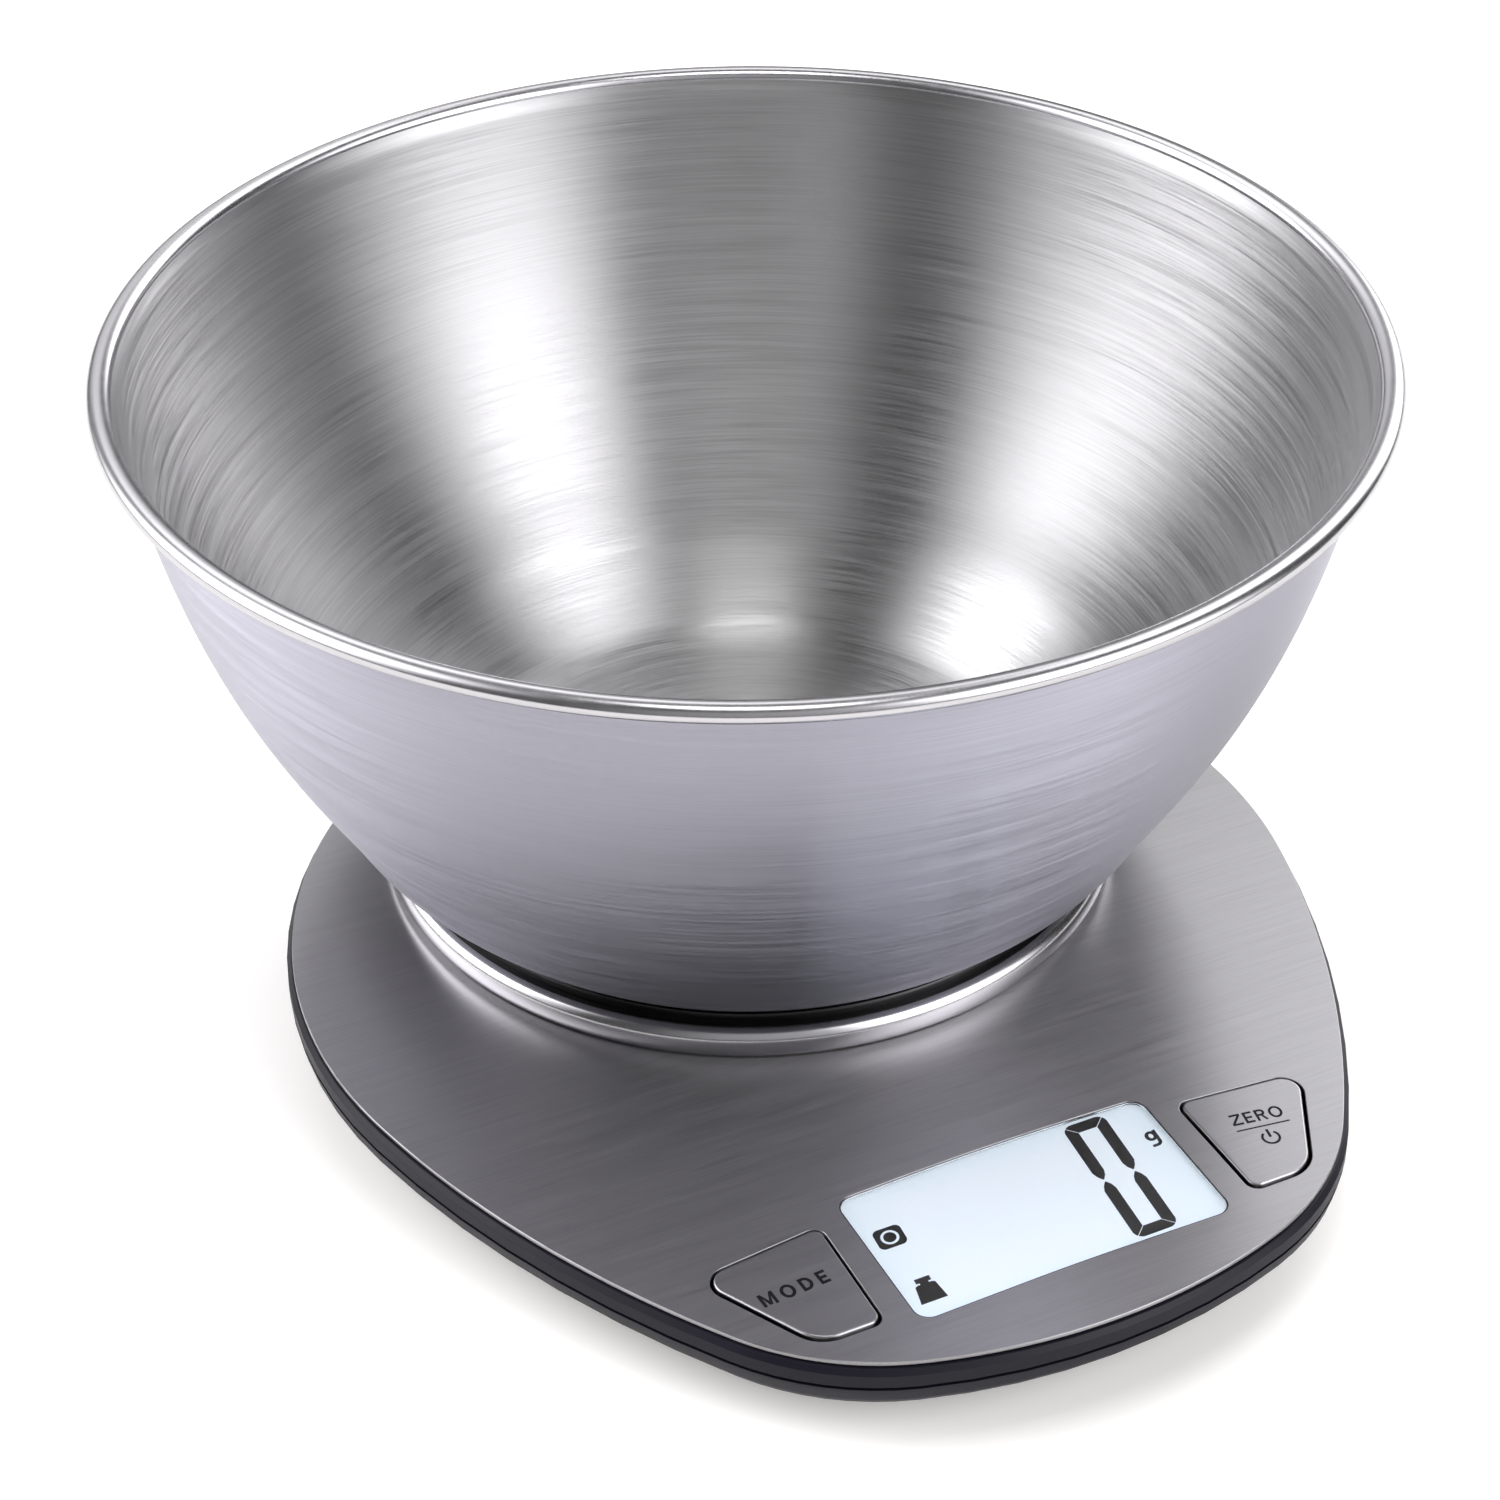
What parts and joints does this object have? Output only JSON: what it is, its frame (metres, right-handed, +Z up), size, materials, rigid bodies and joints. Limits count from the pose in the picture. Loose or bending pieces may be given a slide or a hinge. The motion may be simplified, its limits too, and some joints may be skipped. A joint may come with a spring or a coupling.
{
  "type": "kitchen scale",
  "caption": "Flat egg-shaped digital kitchen scale with a steel top plate, display window and push keys, carrying a loose steel mixing bowl on a foot ring.",
  "frame": {"origin": "on the table, under the middle of the whole object's box", "axes": "+Z up, the display and keys face -Y, +X to the right seen from the front"},
  "size_m": [0.23, 0.2621, 0.1255],
  "materials": {
    "bowl_steel": "brushed round, satin",
    "polished_steel": "polished",
    "plate_steel": "straight brushed along the width",
    "key_steel": "straight brushed, rounded edges",
    "black_plastic": "fine satin",
    "inner_plastic": "moulded",
    "white_plastic": "moulded",
    "clear_window": "clear gloss",
    "display": "pale blue backlit liquid crystal display",
    "backlight": "diffuser",
    "rubber": "matt",
    "aluminium": "machined",
    "circuit_board": "solder mask",
    "screw_steel": "nickel plated",
    "battery": "plain foil sleeve",
    "lead_white": "insulated",
    "lead_black": "insulated"
  },
  "bodies": {
    "base": {"lower_housing": "black_plastic", "foot_1": "rubber", "foot_2": "rubber", "foot_3": "rubber", "foot_4": "rubber", "load_cell": "aluminium", "gauge_potting": "white_plastic", "load_cell_screw_1": "screw_steel", "load_cell_screw_2": "screw_steel", "battery_1": "battery", "battery_2": "battery", "contact_bridge": "screw_steel", "contact_plus": "screw_steel", "contact_minus": "screw_steel", "contact_spring_1": "screw_steel", "contact_spring_2": "screw_steel"},
    "platform": {"top_plate": "plate_steel", "upper_housing": "black_plastic", "lcd_lens": "clear_window", "lcd_glass": "display", "lcd_backlight": "backlight", "lcd_frame": "inner_plastic", "zebra_strip": "rubber", "pcb": "circuit_board", "pcb_screw_1": "screw_steel", "pcb_screw_2": "screw_steel", "pcb_screw_3": "screw_steel", "pcb_screw_4": "screw_steel", "pcb_chip": "inner_plastic", "sensor_connector": "white_plastic", "battery_connector": "white_plastic", "mode_switch": "inner_plastic", "zero_switch": "inner_plastic", "load_cell_spacer": "inner_plastic", "load_cell_screw_3": "screw_steel", "load_cell_screw_4": "screw_steel", "load_cell_lead": "lead_white", "battery_lead_plus": "lead_black", "battery_lead_minus": "lead_black"},
    "mode_button": {"mode_key": "key_steel", "mode_plunger": "white_plastic"},
    "zero_button": {"zero_key": "key_steel", "zero_plunger": "white_plastic"},
    "battery_door": {"battery_cover": "black_plastic"},
    "bowl": {"mixing_bowl": "bowl_steel", "bowl_foot_ring": "polished_steel"}
  },
  "joints": [
    {"name": "platform_weigh", "type": "slide", "parent": "base", "child": "platform", "axis": [0, 0, -1], "range_m": [0, 0.0003], "stiffness_N_per_m": 40000, "springref_m": -0.0004},
    {"name": "bowl_lift", "type": "slide", "parent": "platform", "child": "bowl", "axis": [0, 0, 1], "range_m": [0, 0.12]},
    {"name": "mode_press", "type": "slide", "parent": "platform", "child": "mode_button", "axis": [0, 0, -1], "range_m": [0, 0.0004], "stiffness_N_per_m": 1000, "springref_m": -0.001},
    {"name": "zero_press", "type": "slide", "parent": "platform", "child": "zero_button", "axis": [0, 0, -1], "range_m": [0, 0.0004], "stiffness_N_per_m": 1000, "springref_m": -0.001},
    {"name": "battery_door_off", "type": "slide", "parent": "base", "child": "battery_door", "axis": [0, 0, -1], "range_m": [0, 0.03]}
  ]
}
